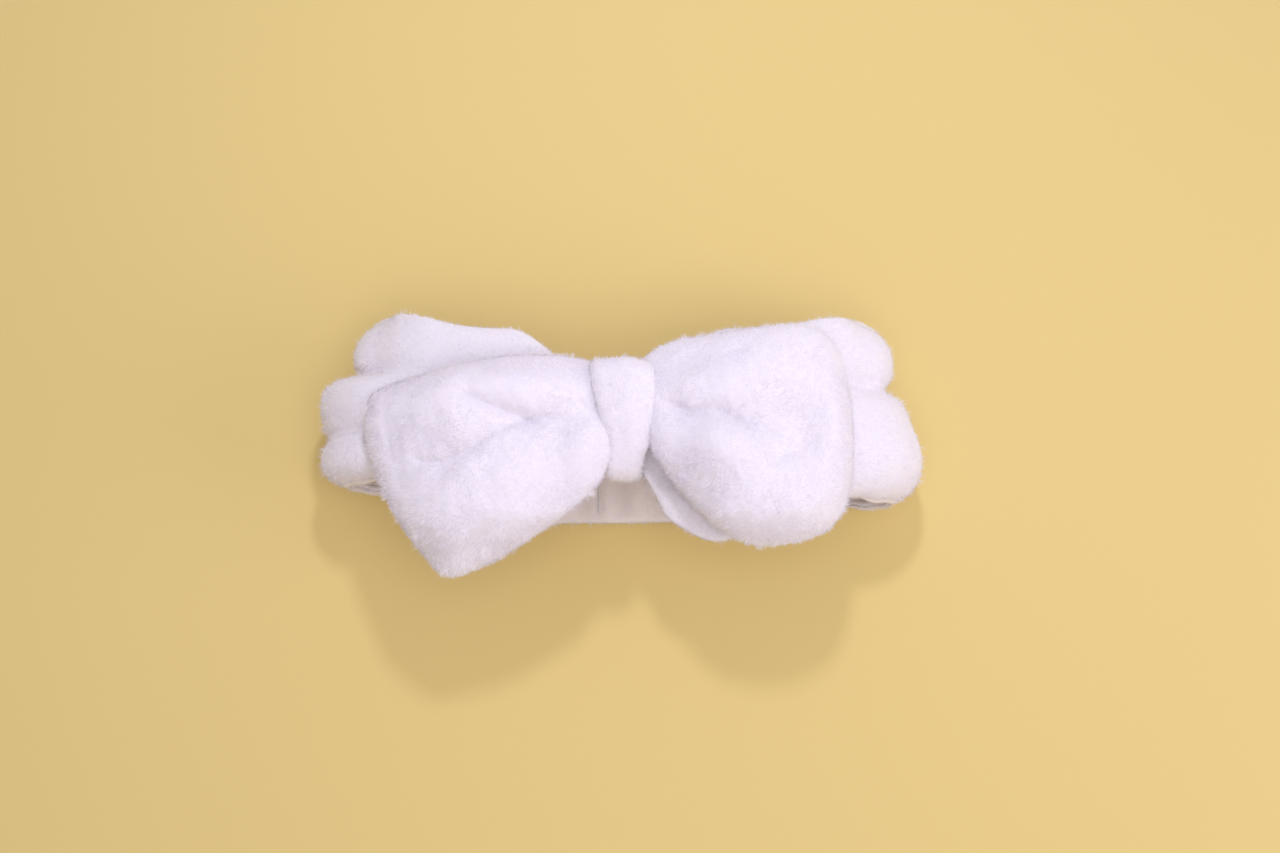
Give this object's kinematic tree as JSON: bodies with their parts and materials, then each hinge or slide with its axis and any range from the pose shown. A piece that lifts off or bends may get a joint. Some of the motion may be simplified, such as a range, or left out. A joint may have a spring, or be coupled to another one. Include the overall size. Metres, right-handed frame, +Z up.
{
  "type": "spa headband",
  "caption": "Soft plush ring headband with an elastic back and a padded bow held by a knotted strip, worn to keep hair off the face while washing.",
  "frame": {"origin": "under the middle of the object's box, on the surface that the back of the band rests on", "axes": "+X along the bow, +Y along the axis of the ring, +Z up from the back of the band to the bow"},
  "size_m": [0.24, 0.1018, 0.0756],
  "materials": {
    "band_fleece": "white coral fleece, soft deep pile, matt",
    "lining_fleece": "the same white fleece on the inside of the ring",
    "bow_fleece": "white coral fleece, soft deep pile, matt",
    "knot_fleece": "white coral fleece drawn tight in lengthwise folds",
    "wadding": "loose white polyester wadding",
    "elastic": "knitted white elastic, ribbed along its length",
    "thread": "white polyester sewing thread"
  },
  "bodies": {
    "back": {"back_outer_left": "band_fleece", "back_outer_right": "band_fleece", "back_lining_left": "lining_fleece", "back_lining_right": "lining_fleece", "back_elastic": "elastic", "elastic_tack_left": "thread", "elastic_tack_right": "thread", "back_outer_closing_seam": "thread", "back_lining_closing_seam": "thread", "back_upper_edge_seam": "thread", "back_lower_edge_seam": "thread", "left_side_outer": "band_fleece", "left_side_lining": "lining_fleece", "left_side_upper_edge_seam": "thread", "left_side_lower_edge_seam": "thread", "right_side_outer": "band_fleece", "right_side_lining": "lining_fleece", "right_side_upper_edge_seam": "thread", "right_side_lower_edge_seam": "thread"},
    "front": {"front_outer": "band_fleece", "front_lining": "lining_fleece", "front_upper_edge_seam": "thread", "front_lower_edge_seam": "thread", "bow_waist": "bow_fleece", "knot_wrap": "knot_fleece", "knot_closing_stitch": "thread"},
    "left_loop": {"left_loop_top_panel": "bow_fleece", "left_loop_under_panel": "bow_fleece", "left_loop_wadding": "wadding", "left_loop_edge_seam": "thread"},
    "right_loop": {"right_loop_top_panel": "bow_fleece", "right_loop_under_panel": "bow_fleece", "right_loop_wadding": "wadding", "right_loop_edge_seam": "thread"}
  },
  "joints": [
    {"name": "ring_stretch", "type": "slide", "parent": "back", "child": "front", "axis": [0, 0, 1], "range_m": [0, 0.05], "stiffness_N_per_m": 80, "deforming": ["left_side_outer", "left_side_lining", "left_side_upper_edge_seam", "left_side_lower_edge_seam", "right_side_outer", "right_side_lining", "right_side_upper_edge_seam", "right_side_lower_edge_seam"]},
    {"name": "left_loop_flex", "type": "hinge", "parent": "front", "child": "left_loop", "pos_m": [-0.013, 0.003, 0.0676], "axis": [0, 1, 0], "range_deg": [0, 40], "stiffness_Nm_per_rad": 0.01},
    {"name": "right_loop_flex", "type": "hinge", "parent": "front", "child": "right_loop", "pos_m": [0.013, 0.01, 0.0676], "axis": [0, -1, 0], "range_deg": [0, 40], "stiffness_Nm_per_rad": 0.01}
  ]
}
